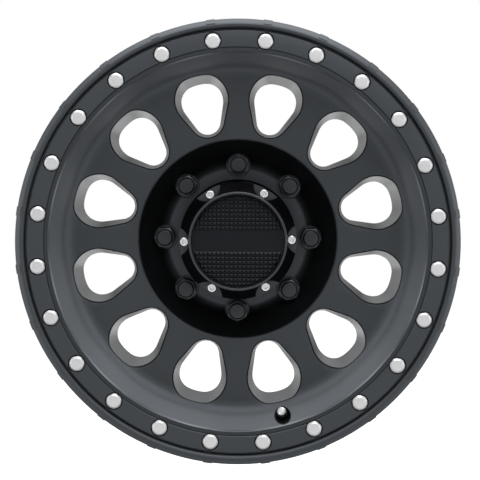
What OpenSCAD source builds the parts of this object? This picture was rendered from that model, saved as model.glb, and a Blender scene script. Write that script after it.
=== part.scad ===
// A bare 17 x 8.5 inch light alloy off-road wheel with eight lugs: one casting with twelve
// drafted windows, the bolts of its outer ring, lug nuts, a tall screwed cap and a snap-in valve.
// Each piece is drawn with the outboard side up and the wheel's axis on Z, then laid over,
// so that the axis runs along Y, the outboard face looks along -Y and the hub face is at the origin.

/* [Barrel] */
// Outer diameter of both flanges
rim_d = 472.4; // [466:0.2:478]
// Height of the flanges over the bead seats
flange_h = 17.9; // [16.5:0.1:19]
// Width between the flanges
rim_w = 215.9; // [203:0.1:229]
// Thickness of each flange along the axis
flange_w = 13; // [11:0.5:15]
// Offset of the hub face from the barrel's mid plane, plus towards the street side
mount_offset = 0; // [-8:1:8]
// Width of a bead seat
seat_w = 20; // [19:0.5:22]
// Height of the humps that keep the tyre's beads in place
hump_h = 1.7; // [1:0.1:2.5]
// Depth of the drop centre under the bead seats
well_depth = 26.8; // [24.5:0.1:27.5]
// Width of the drop centre
well_w = 36; // [30:1:40]
// Wall of the barrel
barrel_wall = 6; // [5:0.5:8]

/* [Outer ring] */
// Width of the lip outside the ring face
lip_w = 12.4; // [12:0.1:13.2]
// Width of the ring face
ring_w = 17.3; // [16.5:0.1:18.5]
// Width of the deep groove round the ring
ring_groove_w = 2.4; // [2:0.1:3]
// Depth of the ring face behind the lip
ring_drop = 2; // [1:0.25:3]
// Depth of the ring's groove and of the bolt seats behind the ring face
bolt_seat_depth = 5.5; // [5:0.5:7]
// Width of the fine groove at the ring's inner edge
fine_groove_w = 1.4; // [1:0.1:2]
// Number of ring bolts and of lip pads
bolt_count = 24; // [12:12:24]
// Distance of the ring bolts' centres from the ring's outer edge
bolt_inset = 10; // [9.5:0.1:10.8]
// Diameter of the bolt seats
bolt_seat_d = 18.4; // [18:0.1:18.8]
// Thread diameter of the ring bolts
bolt_thread_d = 5; // [4:0.5:6]
// Length of the ring bolts under the head
bolt_l = 12; // [8:1:16]
// Size of the ring bolts' hexagon across its flats
bolt_hex = 15; // [14:0.25:15.5]
// Height of the ring bolts' heads
bolt_head_h = 6.5; // [5:0.5:8]
// Height of the lip pads over the flange
pad_h = 0.6; // [0.4:0.1:1.2]
// Width of the lip pads
pad_w = 9.6; // [7:0.2:14]

/* [Cove and spokes] */
// Width of the plain band between the ring face and the cove
band_w = 5.9; // [5:0.1:6.5]
// Width of the cove, seen from the street side
cove_w = 10.3; // [9.5:0.1:11]
// Height of the spokes' front over the hub face, at the cove's foot
face_h = 62.5; // [61:0.5:64]
// Slope of the spokes' front, in degrees, falling towards the hub
face_slope = 5; // [3:0.5:7]
// Thickness of the spokes at the cove
spoke_t = 26; // [24:0.5:28]
// Radius of the cove's foot
cove_fillet = 9; // [6:0.5:11]
// Width of the crease over each spoke's root
crease_w = 1; // [0.6:0.1:1.4]

/* [Windows] */
// Number of windows
window_count = 12; // [12]
// Radius of a window's wide end
window_wide_r = 28.3; // [26:0.1:29.3]
// Land between the cove's foot and the windows' wide ends
window_land = 5.7; // [5:0.1:6.5]
// How far the wide ends' circles run past that land, where they are flattened
window_flat = 2.7; // [2:0.1:3.4]
// Radius of a window's narrow end
window_narrow_r = 18.8; // [17:0.1:20]
// Distance between the centres of a window's two ends
window_span = 23.5; // [21:0.1:24.5]
// Draft of the windows' walls, in degrees
window_draft = 10.3; // [8:0.1:12]
// How much rounder the wide ends get with each millimetre of draft
window_round = 2.2; // [1.2:0.1:2.6]
// Chamfer round a window's front edge
window_edge = 0.8; // [0.4:0.1:1.2]

/* [Hub] */
// Diameter of the hub bore
bore_d = 130.8; // [130:0.1:132]
// Length of the hub bore behind the cap's seat
bore_l = 6; // [5:0.5:7]
// Thickness of the hub pad
pad_t = 15; // [14:0.5:18]
// Diameter of the hub pad's back face
hub_back_d = 200; // [196:1:206]
// Diameter of the bowl's front edge
bowl_edge_d = 221; // [220:0.5:224]
// Diameter of the bowl's floor
bowl_floor_d = 170; // [166:1:176]
// Number of lugs
lug_count = 8; // [8]
// Distance of the lugs' centres from the wall of the hub bore
lug_land = 17.15; // [17:0.05:18.5]
// Diameter of the lug holes
lug_hole_d = 16; // [15.6:0.1:17]
// Diameter of the lug pockets
lug_pocket_d = 27.6; // [27:0.1:29]
// Depth of the lug pockets in the hub pad
lug_pocket_depth = 4; // [3:0.5:5]
// Diameter of the mouth of the cone seats
lug_seat_d = 22.4; // [22:0.1:23]
// Whole angle of the cone seats
lug_seat_angle = 60; // [60:15:90]
// Size of the lug nuts' hexagon across its flats
nut_hex = 21; // [19:0.5:22]
// Length of a lug nut over its cone
nut_l = 27; // [24:1:34]
// Thread diameter of the lug nuts
nut_thread_d = 14; // [12:0.5:14.5]
// Diameter of the recesses in the hub pad's back
relief_d = 20; // [16:0.5:22]
// Depth of those recesses
relief_depth = 7; // [4:0.5:8]

/* [Cap] */
// Height of the cap body's top over the hub face
cap_h = 94.5; // [88:0.5:97]
// Radial gap between the cap body and the hub bore
cap_fit = 0.3; // [0.2:0.05:0.5]
// Wall of the cap body
cap_wall = 3; // [2.5:0.25:4]
// Thickness of the lip that keeps the cap body in the bore
cap_lip_t = 1.6; // [1.2:0.1:1.8]
// Diameter of the O-ring's section
o_ring_d = 2; // [1.6:0.1:2.4]
// Thickness of the lid's flange
lid_flange_t = 4; // [3:0.25:5]
// How much smaller the lid's radius is than the cap body's in the bore
lid_inset = 1.1; // [0.5:0.1:1.6]
// Height of the lid over its flange
lid_h = 16; // [14:0.5:18]
// Width of the lid's cone, from the flange's edge to the raised ring
lid_cone_w = 10.5; // [10:0.1:11]
// Width of the raised ring
lid_ring_w = 2.4; // [2:0.1:3.5]
// Depth of the recess inside the raised ring
lid_recess = 6; // [5:0.25:7]
// Radius of the milled flats at the screws
flat_r = 16; // [14:0.5:17]
// How far the flats reach in from the circle of screws
flat_reach = 5.4; // [5.2:0.1:5.9]
// Thickness of the textured insert
insert_t = 3.6; // [3:0.2:4.5]
// Gap round the insert
insert_fit = 0.2; // [0.1:0.05:0.4]
// Number of cap screws
screw_count = 6; // [6]
// Distance of the cap screws' centres from the flange's edge
screw_inset = 5.6; // [5.2:0.1:5.8]
// Thread diameter of the cap screws
screw_d = 5; // [4:0.5:5]
// Length of the cap screws under the head
screw_l = 14; // [12:1:18]
// Turn of the circle of cap screws, in degrees
screw_turn = 1.4; // [0:0.1:3]

/* [Valve] */
// Angle of the valve round the wheel, counter-clockwise from the right
valve_angle = 284.7; // [280:0.1:290]
// Distance of the valve's seat outside the cove's foot
valve_land = 9.7; // [8.7:0.1:10.7]
// Tilt of the valve towards the axis, in degrees
valve_tilt = 17; // [14:0.5:19]
// Diameter of the valve pocket
valve_pocket_d = 18; // [17:0.1:18.4]
// Tilt of the valve pocket, in degrees
valve_pocket_tilt = 9; // [8:0.25:10]
// Diameter of the valve hole
valve_hole_d = 11.5; // [11:0.1:12]
// Wall that the valve is pulled into
valve_wall = 4; // [3:0.25:5]
// Length of the valve from its seat to the tip of its cap
valve_l = 39.5; // [34:0.5:42]
// Diameter of the valve cap
valve_cap_d = 9.6; // [9:0.1:10]

/* [Hidden] */

// Steps of a turn on large and on small round pieces
large_fn = 180;
small_fn = 48;
// What a cut runs past a face
past = 1;
// Clearance between pieces that seat on each other
seat_gap = 0.1;

// Heights along the axis, from the hub face towards the street side
front_z = rim_w / 2 + flange_w - mount_offset;
rear_z = -rim_w / 2 - flange_w - mount_offset;
front_seat_z = front_z - flange_w;
rear_seat_z = rear_z + flange_w;
ring_z = front_z - ring_drop;
groove_floor_z = ring_z - bolt_seat_depth;

// Radii of the barrel
rim_r = rim_d / 2;
heel_r = rim_r - flange_h;
toe_r = heel_r - seat_w * tan(5);
well_r = heel_r - well_depth;
barrel_in_r = well_r - barrel_wall;
ledge_r = toe_r - 4.6;
lip_t = 5;

// Stations of the barrel along the axis
hump_w = 3;
hump_foot = 6;
front_toe_z = front_seat_z - seat_w;
rear_toe_z = rear_seat_z + seat_w;
valve_land_z = face_h + 2.5;
well_front_z = face_h - 18.5;
well_rear_z = well_front_z - well_w;

// Radii and heights of the cove, the spokes and the bowl
ring_outer_r = rim_r - lip_w;
ring_inner_r = ring_outer_r - ring_w;
bolt_at = ring_outer_r - bolt_inset;
cove_top_r = ring_inner_r - band_w;
cove_foot_r = cove_top_r - cove_w;
valve_at = cove_foot_r + valve_land;
band_z = ring_z - 0.6;
bowl_edge_r = bowl_edge_d / 2;
function face_z(r) = face_h - (cove_foot_r - r) * tan(face_slope);
function back_z(r) = face_z(r) - spoke_t + (cove_foot_r - r) * tan(face_slope) / 2;

// Places of the windows' two ends
window_limit_r = cove_foot_r - window_land;
window_wide_at = window_limit_r + window_flat - window_wide_r;
window_narrow_at = window_wide_at - window_span;
spoke_root_r = window_narrow_at - window_narrow_r + 3.5;

// The hub bore and the cap's seat in it
bore_r = bore_d / 2;
lug_at = bore_r + lug_land;
cap_seat_r = bore_r - 1;
cap_seat_z = bore_l + 2;
seat_cone_h = (lug_seat_d - lug_hole_d) / 2 / tan(lug_seat_angle / 2);
lug_floor_z = pad_t - lug_pocket_depth;

// The cap
cap_r = cap_seat_r - cap_fit;
flat_z = cap_h + lid_flange_t;
lid_top_z = flat_z + lid_h;
lid_r = cap_r - lid_inset;
lid_ring_r = lid_r - lid_cone_w;
lid_hole_r = lid_ring_r - lid_ring_w;
insert_z = lid_top_z - lid_recess;
screw_at = lid_r - screw_inset;
flat_at = screw_at - flat_reach + flat_r;
screw_head_d = screw_d * 1.8;

// Fillet of one corner of a profile, between the sides towards a and c
function unit(v) = v / norm(v);
function corner(a, b, c, r, n) =
    r == 0 ? [b] :
    let (
        u = unit(a - b),
        w = unit(c - b),
        half = acos(u * w) / 2,
        centre = b + unit(u + w) * r / sin(half),
        start = b + u * r / tan(half) - centre,
        first = atan2(start.y, start.x),
        sweep = -sign(cross(u, w)) * (180 - 2 * half)
    )
    [for (i = [0:n]) centre + r * [cos(first + sweep * i / n), sin(first + sweep * i / n)]];

// Profile whose corners are given as [radius from the axis, height, fillet]
function filleted(p, n = 4) = [
    for (i = [0:len(p) - 1])
        let (a = p[(i + len(p) - 1) % len(p)], b = p[i], c = p[(i + 1) % len(p)])
        each corner([a.x, a.y], [b.x, b.y], [c.x, c.y], b.z, n)
];

// A ring of copies, the first at the angle given
module around(count, first = 0) {
    for (i = [0:count - 1]) rotate([0, 0, first + i * 360 / count]) children();
}

// Lays a piece over, so that its outboard side looks along -Y
module laid_over() {
    rotate([90, 0, 0]) children();
}

// Section of the barrel's inner side, from the spokes' back to the rear lip
function barrel_inside() = [
    [barrel_in_r, back_z(barrel_in_r), 5],
    [barrel_in_r, well_rear_z - 2, 14],
    [ledge_r - barrel_wall - 3, well_rear_z - 28, 14],
    [ledge_r - barrel_wall, rear_toe_z + 12, 10],
    [toe_r - barrel_wall, rear_toe_z, 6],
    [toe_r - barrel_wall + 1, rear_seat_z + 3, 8],
    [rim_r - lip_t - 2, rear_z + 4, 3],
    [rim_r - lip_t, rear_z, 1.5]
];

// Section of the barrel's tyre side, from the rear lip to the front lip
function barrel_outside() = [
    [rim_r, rear_z, 2],
    [rim_r, rear_seat_z, 4],
    [heel_r, rear_seat_z, 6],
    [toe_r, rear_toe_z, 2],
    [toe_r + hump_h, rear_toe_z + hump_w, 2],
    [ledge_r, rear_toe_z + hump_w + hump_foot, 5],
    [ledge_r - 3, well_rear_z - 24, 14],
    [well_r, well_rear_z, 12],
    [well_r, well_front_z, 12],
    [toe_r, valve_land_z, 6],
    [toe_r, front_toe_z - hump_w - hump_foot, 3],
    [toe_r + hump_h, front_toe_z - hump_w, 2],
    [toe_r, front_toe_z, 2],
    [heel_r, front_seat_z, 6],
    [rim_r, front_seat_z, 4]
];

// Section of the lip, the ring with its grooves and the cove, down to the spokes
function street_side() = [
    [rim_r, front_z - 4, 1.2],
    [rim_r - 4.4, front_z - 0.9, 1.5],
    [rim_r - 6.4, front_z, 1.5],
    [rim_r - 8.6, front_z - 0.8, 1.2],
    [ring_outer_r + ring_groove_w, front_z - 3.5, 1],
    [ring_outer_r + ring_groove_w, groove_floor_z, 0.5],
    [ring_outer_r, groove_floor_z, 0.5],
    [ring_outer_r, ring_z, 0.8],
    [ring_inner_r, ring_z, 0.2],
    [ring_inner_r - fine_groove_w / 2, ring_z - 1.1, 0],
    [ring_inner_r - fine_groove_w, band_z, 0.2],
    [cove_top_r, band_z, 1],
    [cove_foot_r, face_h, cove_fillet]
];

// Section of the spokes' front edge, the bowl, the hub pad and the bore
function hub_side() = [
    [bowl_edge_r, face_z(bowl_edge_r), 4],
    [bowl_floor_d / 2, pad_t, 14],
    [bore_r + 0.8, pad_t, 0.5],
    [cap_seat_r, pad_t - 1.6, 0],
    [cap_seat_r, cap_seat_z, 0],
    [bore_r + 0.8, cap_seat_z, 0],
    [bore_r + 0.8, bore_l, 0],
    [bore_r, bore_l, 0],
    [bore_r, 0, 0],
    [hub_back_d / 2, 0, 3],
    [spoke_root_r, back_z(spoke_root_r), 10]
];

// Keeps a distance from the axis under a limit, with a soft turn as long as the one given
function soft_limit(r, limit, soft) =
    r < limit - soft ? r : limit - soft * exp(-(r - limit + soft) / soft);

// Outline of a window, drawn in by inset: the wide end's arc, then the narrow end's arc
function window_outline(inset) =
    let (
        wide_r = window_wide_r - inset,
        narrow_r = window_narrow_r - inset,
        lean = asin((window_wide_r - window_narrow_r) / (window_wide_at - window_narrow_at)),
        wide_n = 18,
        narrow_n = 9
    )
    [
        for (i = [0:wide_n])
            let (a = (90 + lean) * (2 * i / wide_n - 1))
            [window_wide_at + wide_r * cos(a), wide_r * sin(a)],
        for (i = [0:narrow_n])
            let (a = 90 + lean + (180 - 2 * lean) * i / narrow_n)
            [window_narrow_at + narrow_r * cos(a), narrow_r * sin(a)]
    ];

// The same outline with its wide end flattened along a circle round the axis. The drafted
// walls keep less of that flat, so the windows come out round at the back.
function window_ring(inset, rise) = [
    for (p = window_outline(inset))
        let (
            drawn = max(inset, 0),
            limit = window_limit_r - inset + 0.7 * drawn,
            r = norm(p),
            kept = soft_limit(r, limit, 2.5 + window_round * drawn)
        )
        [p.x * kept / r, p.y * kept / r, rise + face_z(min(r, cove_foot_r))]
];

// Cutter of one window, right through the spokes, with drafted walls and a fine front chamfer
module window_cut() {
    depth = spoke_t + 12;
    flare = 1.5;
    rings = [
        window_ring(depth * tan(window_draft), -depth),
        window_ring(0, -window_edge),
        window_ring(-window_edge - flare, flare),
        window_ring(-window_edge - flare, 14)
    ];
    n = len(rings[0]);
    polyhedron(
        points = [for (ring = rings) each ring],
        faces = [
            [for (i = [0:n - 1]) i],
            for (k = [0:len(rings) - 2], i = [0:n - 1])
                [k * n + i, (k + 1) * n + i, (k + 1) * n + (i + 1) % n, k * n + (i + 1) % n],
            [for (i = [n - 1:-1:0]) (len(rings) - 1) * n + i]
        ]
    );
}

// One pad on the chamfer of the lip
module lip_pad() {
    pad_angle = 2 * asin(pad_w / 2 / rim_r);
    rotate([0, 0, -pad_angle / 2])
        rotate_extrude(angle = pad_angle, $fn = large_fn)
            polygon([
                [rim_r - 6, front_z - 9],
                [rim_r + pad_h - 0.4, front_z - 9],
                [rim_r + pad_h, front_z - 8.6],
                [rim_r + pad_h, front_z - 3.7],
                [rim_r - 4.2, front_z - 0.4],
                [rim_r - 6, front_z - 0.5]
            ]);
}

// Seat, thread hole and groove notch of one ring bolt
module bolt_cut() {
    notch_w = 5;
    notch_rise = 0.4;
    translate([bolt_at, 0, groove_floor_z]) {
        cylinder(h = bolt_seat_depth + past, d = bolt_seat_d, $fn = small_fn);
        translate([0, 0, -bolt_l - past])
            cylinder(h = bolt_l + 2 * past, d = bolt_thread_d + 2 * seat_gap, $fn = 24);
        translate([0, -notch_w / 2, notch_rise])
            cube([ring_outer_r - bolt_at + past, notch_w, bolt_seat_depth + past]);
    }
}

// Crease in the cove over one spoke's root
module crease_cut() {
    crease_angle = 180 / window_count;
    rotate([0, 0, -crease_angle / 2])
        rotate_extrude(angle = crease_angle, $fn = large_fn)
            polygon([
                [cove_top_r - past, band_z + past],
                [cove_top_r + crease_w, band_z + past],
                [cove_top_r + crease_w, band_z - 0.2],
                [cove_top_r - past, band_z - 2.4]
            ]);
}

// Pocket, cone seat and hole of one lug
module lug_cut() {
    translate([lug_at, 0, 0]) {
        translate([0, 0, lug_floor_z])
            cylinder(h = face_h, d = lug_pocket_d, $fn = small_fn);
        translate([0, 0, lug_floor_z - seat_cone_h])
            cylinder(h = seat_cone_h, d1 = lug_hole_d, d2 = lug_seat_d, $fn = small_fn);
        translate([0, 0, -past])
            cylinder(h = pad_t, d = lug_hole_d, $fn = small_fn);
    }
}

// Recess in the back of the hub pad, between two lugs
module relief_cut() {
    translate([lug_at, 0, -past])
        cylinder(h = relief_depth + past, d = relief_d, $fn = small_fn);
}

// Places what belongs to the valve, with the valve's axis on Z and its seat at the origin
module at_valve(tilt) {
    rotate([0, 0, valve_angle])
        translate([valve_at, 0, face_h])
            rotate([0, -tilt, 0])
                children();
}

// Pocket, hole and seats of the valve
module valve_cut() {
    at_valve(valve_pocket_tilt)
        translate([0, 0, 1.5])
            cylinder(h = front_z, d = valve_pocket_d, $fn = small_fn);
    at_valve(valve_tilt) {
        cylinder(h = 8, d = valve_hole_d + 5, $fn = small_fn);
        translate([0, 0, -valve_wall - past])
            cylinder(h = valve_wall + 2 * past, d = valve_hole_d, $fn = small_fn);
        translate([0, 0, -valve_wall - 22])
            cylinder(h = 22, d = valve_hole_d + 9.5, $fn = small_fn);
    }
}

// The wheel itself: one casting, turned on its barrel, ring, cove and hub
module wheel_casting() {
    color([0.10, 0.10, 0.11])
        laid_over()
            difference() {
                union() {
                    rotate_extrude($fn = large_fn)
                        polygon(filleted(concat(
                            barrel_inside(), barrel_outside(), street_side(), hub_side()
                        )));
                    around(bolt_count, 180 / bolt_count) lip_pad();
                }
                around(bolt_count, 180 / bolt_count) bolt_cut();
                around(window_count) crease_cut();
                around(window_count, 180 / window_count) window_cut();
                around(lug_count) lug_cut();
                around(lug_count, 180 / lug_count) relief_cut();
                valve_cut();
            }
}

// One hexagon flange bolt, its washer face on the floor of its seat and its corners turned off
module ring_bolt() {
    flange_t = 1.6;
    flange_d = bolt_seat_d - 1.4;
    corner_d = bolt_hex / cos(30);
    turned_r = bolt_seat_d / 2 - 0.9;
    top_r = bolt_hex * 0.385;
    translate([0, 0, -bolt_l])
        cylinder(h = bolt_l, d = bolt_thread_d, $fn = 24);
    cylinder(h = flange_t, d = flange_d, $fn = small_fn);
    intersection() {
        translate([0, 0, flange_t / 2])
            cylinder(h = bolt_head_h - flange_t / 2, d = corner_d, $fn = 6);
        rotate_extrude($fn = small_fn)
            polygon([
                [0, 0],
                [turned_r, 0],
                [turned_r, bolt_head_h - (turned_r - top_r) * tan(30)],
                [top_r, bolt_head_h],
                [0, bolt_head_h]
            ]);
    }
}

module ring_bolts() {
    color([0.78, 0.78, 0.80])
        laid_over()
            around(bolt_count, 180 / bolt_count)
                translate([bolt_at, 0, groove_floor_z])
                    rotate([0, 0, 30])
                        ring_bolt();
}

// One closed lug nut, its cone a gap above the wheel's cone seat
module lug_nut() {
    corner_d = nut_hex / cos(30);
    crown_d = 15.4;
    crown_h = 4;
    cone_gap = seat_gap / sin(lug_seat_angle / 2);
    cone_rise = 1.2;
    cone_low = lug_floor_z - seat_cone_h + cone_rise;
    cone_low_r = lug_hole_d / 2 + (cone_rise - cone_gap) * tan(lug_seat_angle / 2);
    top_z = lug_floor_z + nut_l;
    difference() {
        union() {
            translate([0, 0, cone_low])
                cylinder(
                    h = lug_floor_z - cone_low,
                    r1 = cone_low_r,
                    r2 = cone_low_r + (lug_floor_z - cone_low) * tan(lug_seat_angle / 2),
                    $fn = small_fn
                );
            intersection() {
                translate([0, 0, lug_floor_z + seat_gap])
                    cylinder(h = nut_l - crown_h, d = corner_d, $fn = 6);
                rotate_extrude($fn = small_fn)
                    polygon([
                        [0, 0],
                        [nut_hex * 0.53, lug_floor_z],
                        [corner_d / 2 + past, lug_floor_z + 2.5],
                        [corner_d / 2 + past, top_z - crown_h - 1],
                        [nut_hex * 0.48, top_z - crown_h],
                        [0, top_z - crown_h]
                    ]);
            }
            translate([0, 0, lug_floor_z])
                cylinder(h = 1, d = nut_hex - 0.6, $fn = small_fn);
            rotate_extrude($fn = small_fn)
                polygon([
                    [0, top_z - crown_h - 1],
                    [nut_hex * 0.46, top_z - crown_h - 1],
                    [crown_d / 2 + 1.2, top_z - 1.2],
                    [crown_d / 2, top_z],
                    [0, top_z]
                ]);
        }
        translate([0, 0, cone_low - past])
            cylinder(h = nut_l - 4, d = nut_thread_d, $fn = small_fn);
    }
}

module lug_nuts() {
    color([0.12, 0.12, 0.13])
        laid_over()
            around(lug_count)
                translate([lug_at, 0, 0])
                    lug_nut();
}

// Tube of the cap: a lip behind the seat in the bore, an O-ring groove and six screw bosses
module cap_body() {
    groove_z = cap_seat_z + 1.8;
    groove_w = o_ring_d + 0.4;
    tube_r = lid_r - 1;
    in_r = cap_r - cap_wall - 0.6;
    boss_d = screw_d + 6;
    boss_h = screw_l - lid_flange_t + 4;
    boss_drop = 0.4;
    color([0.05, 0.05, 0.06])
        laid_over()
            difference() {
                union() {
                    rotate_extrude($fn = large_fn)
                        polygon([
                            [in_r, cap_seat_z - cap_lip_t - seat_gap],
                            [bore_r - cap_fit, cap_seat_z - cap_lip_t - seat_gap],
                            [bore_r - cap_fit, cap_seat_z - seat_gap],
                            [cap_r, cap_seat_z - seat_gap],
                            [cap_r, groove_z],
                            [cap_seat_r - o_ring_d, groove_z],
                            [cap_seat_r - o_ring_d, groove_z + groove_w],
                            [cap_r, groove_z + groove_w],
                            [cap_r, pad_t + 2],
                            [tube_r, pad_t + 8],
                            [tube_r, cap_h],
                            [tube_r - cap_wall, cap_h],
                            [tube_r - cap_wall, pad_t + 8],
                            [in_r, pad_t + 2]
                        ]);
                    around(screw_count, screw_turn)
                        intersection() {
                            translate([screw_at, 0, cap_h - boss_h])
                                cylinder(h = boss_h - boss_drop, d = boss_d, $fn = small_fn);
                            translate([0, 0, cap_h - boss_h - past])
                                cylinder(h = boss_h + past, r = tube_r - cap_wall / 2, $fn = large_fn);
                        }
                }
                around(screw_count, screw_turn)
                    translate([screw_at, 0, cap_h - boss_h + 2])
                        cylinder(h = boss_h, d = screw_d + 2 * seat_gap, $fn = 24);
            }
}

// Rubber ring between the cap body's groove and the bore
module cap_o_ring() {
    color([0.03, 0.03, 0.03])
        laid_over()
            rotate_extrude($fn = large_fn)
                translate([cap_seat_r - o_ring_d / 2, cap_seat_z + 2 + o_ring_d / 2])
                    circle(d = o_ring_d - seat_gap, $fn = 24);
}

// Lid: flange, cone, raised ring with its recess, and a milled flat under each screw
module cap_lid() {
    cone_foot = 0.6;
    cavity_r = lid_hole_r - 2;
    color([0.04, 0.04, 0.05])
        laid_over()
            difference() {
                rotate_extrude($fn = large_fn)
                    polygon(filleted([
                        [0, insert_z - 3, 0],
                        [cavity_r, insert_z - 3, 3],
                        [cavity_r, cap_h, 0],
                        [lid_r, cap_h, 0.5],
                        [lid_r, flat_z + cone_foot, 0.3],
                        [lid_ring_r + 0.4, lid_top_z - 3.2, 0.6],
                        [lid_ring_r, lid_top_z, 0.8],
                        [lid_hole_r, lid_top_z, 0.4],
                        [lid_hole_r, insert_z, 0],
                        [0, insert_z, 0]
                    ], 3));
                around(screw_count, screw_turn) {
                    translate([flat_at, 0, flat_z])
                        cylinder(h = lid_h - 3.4, r = flat_r, $fn = small_fn);
                    translate([screw_at, 0, cap_h - past])
                        cylinder(h = lid_flange_t + 2 * past, d = screw_d + 0.4, $fn = 24);
                }
            }
}

// Disc that fills the lid's recess, a little below the raised ring
module cap_insert() {
    color([0.05, 0.05, 0.06])
        laid_over()
            translate([0, 0, insert_z])
                rotate_extrude($fn = large_fn)
                    polygon(filleted([
                        [0, 0, 0],
                        [lid_hole_r - insert_fit, 0, 0],
                        [lid_hole_r - insert_fit, insert_t, 0.6],
                        [0, insert_t, 0]
                    ], 3));
}

// One socket head screw, its head on the lid's flat
module cap_screw() {
    socket = screw_d * 0.8;
    head_h = screw_d;
    difference() {
        union() {
            translate([0, 0, -screw_l])
                cylinder(h = screw_l, d = screw_d, $fn = 24);
            rotate_extrude($fn = small_fn)
                polygon([
                    [0, 0],
                    [screw_head_d / 2, 0],
                    [screw_head_d / 2, head_h - 0.5],
                    [screw_head_d / 2 - 0.5, head_h],
                    [0, head_h]
                ]);
        }
        translate([0, 0, head_h / 2])
            cylinder(h = head_h, d = socket / cos(30), $fn = 6);
    }
}

module cap_screws() {
    color([0.78, 0.78, 0.80])
        laid_over()
            around(screw_count, screw_turn)
                translate([screw_at, 0, flat_z])
                    cap_screw();
}

// Heights of the valve's pieces over its seat
valve_tube_top = valve_l - 2.5;
valve_rubber_top = valve_l - 13;
valve_tube_r = 3.8;
valve_tube_bore = 2.6;

// Rubber stem: bulb on the tyre side, neck in the wall, tapered body outside
module valve_stem() {
    neck_r = valve_hole_d / 2 - seat_gap;
    color([0.04, 0.04, 0.04])
        laid_over()
            at_valve(valve_tilt)
                rotate_extrude($fn = small_fn)
                    polygon(filleted([
                        [valve_tube_r, -valve_wall - 8, 0.5],
                        [neck_r + 0.6, -valve_wall - 8, 2],
                        [neck_r + 3, -valve_wall - 2, 1],
                        [neck_r + 3.2, -valve_wall - seat_gap, 0.3],
                        [neck_r, -valve_wall - seat_gap, 0],
                        [neck_r, seat_gap, 0],
                        [neck_r + 1.3, seat_gap, 0.4],
                        [neck_r + 1.2, 4, 1],
                        [valve_tube_r + 1.9, 8, 1],
                        [valve_tube_r + 1.5, valve_rubber_top, 0.5],
                        [valve_tube_r, valve_rubber_top, 0]
                    ], 3));
}

// Brass tube in the rubber
module valve_tube() {
    color([0.62, 0.50, 0.28])
        laid_over()
            at_valve(valve_tilt)
                difference() {
                    translate([0, 0, -valve_wall - 8])
                        cylinder(
                            h = valve_tube_top + valve_wall + 8,
                            r = valve_tube_r - seat_gap / 2,
                            $fn = small_fn
                        );
                    translate([0, 0, -valve_wall - 8 - past])
                        cylinder(h = valve_l * 2, r = valve_tube_bore, $fn = 24);
                }
}

// Core in the tube: its body and the pin at its end
module valve_core() {
    color([0.70, 0.60, 0.35])
        laid_over()
            at_valve(valve_tilt)
                rotate_extrude($fn = 24)
                    polygon([
                        [0, valve_tube_top - 22],
                        [1.4, valve_tube_top - 22],
                        [1.4, valve_tube_top - 12],
                        [valve_tube_bore - seat_gap, valve_tube_top - 10],
                        [valve_tube_bore - seat_gap, valve_tube_top - 2],
                        [0.7, valve_tube_top - 2],
                        [0.7, valve_tube_top - 0.4],
                        [0, valve_tube_top - 0.4]
                    ]);
}

// Cap on the tube's end
module valve_cap() {
    color([0.80, 0.80, 0.82])
        laid_over()
            at_valve(valve_tilt)
                rotate_extrude($fn = small_fn)
                    polygon([
                        [0, valve_tube_top + 0.5],
                        [valve_tube_r + seat_gap, valve_tube_top + 0.5],
                        [valve_tube_r + seat_gap, valve_rubber_top + seat_gap],
                        [valve_cap_d / 2, valve_rubber_top + seat_gap],
                        [valve_cap_d / 2, valve_l - 2.2],
                        [valve_cap_d / 2 - 1.6, valve_l],
                        [0, valve_l]
                    ]);
}

wheel_casting();
ring_bolts();
lug_nuts();
cap_body();
cap_o_ring();
cap_lid();
cap_insert();
cap_screws();
valve_stem();
valve_tube();
valve_core();
valve_cap();
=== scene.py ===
from math import asin, cos, degrees, exp, hypot, pi, radians, sin, tan

import bmesh
import bpy
from mathutils import Matrix, Vector


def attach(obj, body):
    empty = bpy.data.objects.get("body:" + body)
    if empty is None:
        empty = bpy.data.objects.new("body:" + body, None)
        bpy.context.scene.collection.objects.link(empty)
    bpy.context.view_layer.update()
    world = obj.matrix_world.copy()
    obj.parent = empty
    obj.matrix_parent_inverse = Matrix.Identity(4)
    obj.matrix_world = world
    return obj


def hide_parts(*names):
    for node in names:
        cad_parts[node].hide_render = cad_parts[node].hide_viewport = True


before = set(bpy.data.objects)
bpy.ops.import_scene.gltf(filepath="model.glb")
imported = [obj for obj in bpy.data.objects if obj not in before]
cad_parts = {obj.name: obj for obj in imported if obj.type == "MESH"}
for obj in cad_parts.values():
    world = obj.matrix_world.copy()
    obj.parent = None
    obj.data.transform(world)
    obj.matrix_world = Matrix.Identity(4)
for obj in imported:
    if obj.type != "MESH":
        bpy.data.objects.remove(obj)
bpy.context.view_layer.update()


# The wheel: barrel, ring, cove, twelve spokes and hub are one piece of cast aluminium, turned and
# powder coated in satin black. The lug nuts clamp its hub pad to the vehicle. Sizes are in
# millimetres, with the wheel's axis on Z and the street side up, until a piece is laid over.
MM = 0.001
laid_over = Matrix.Rotation(pi / 2, 4, "X")
past = 1  # how far a cutter runs past the face it cuts

window_count, bolt_count, lug_count = 12, 24, 8

# The barrel: flanges, bead seats from heel to toe with their humps, a ledge and the drop centre
rim_r, heel_r, toe_r, well_r = 236.2, 218.3, 216.55, 191.5
front_z, rear_z = 120.95, -120.95
front_seat_z, rear_seat_z = 107.95, -107.95
front_toe_z, rear_toe_z = 87.95, -87.95
well_front_z, well_rear_z = 44, 8
ledge_r, hump_h = toe_r - 4.6, 1.7
barrel_in_r, barrel_wall = 185.5, 6

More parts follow.
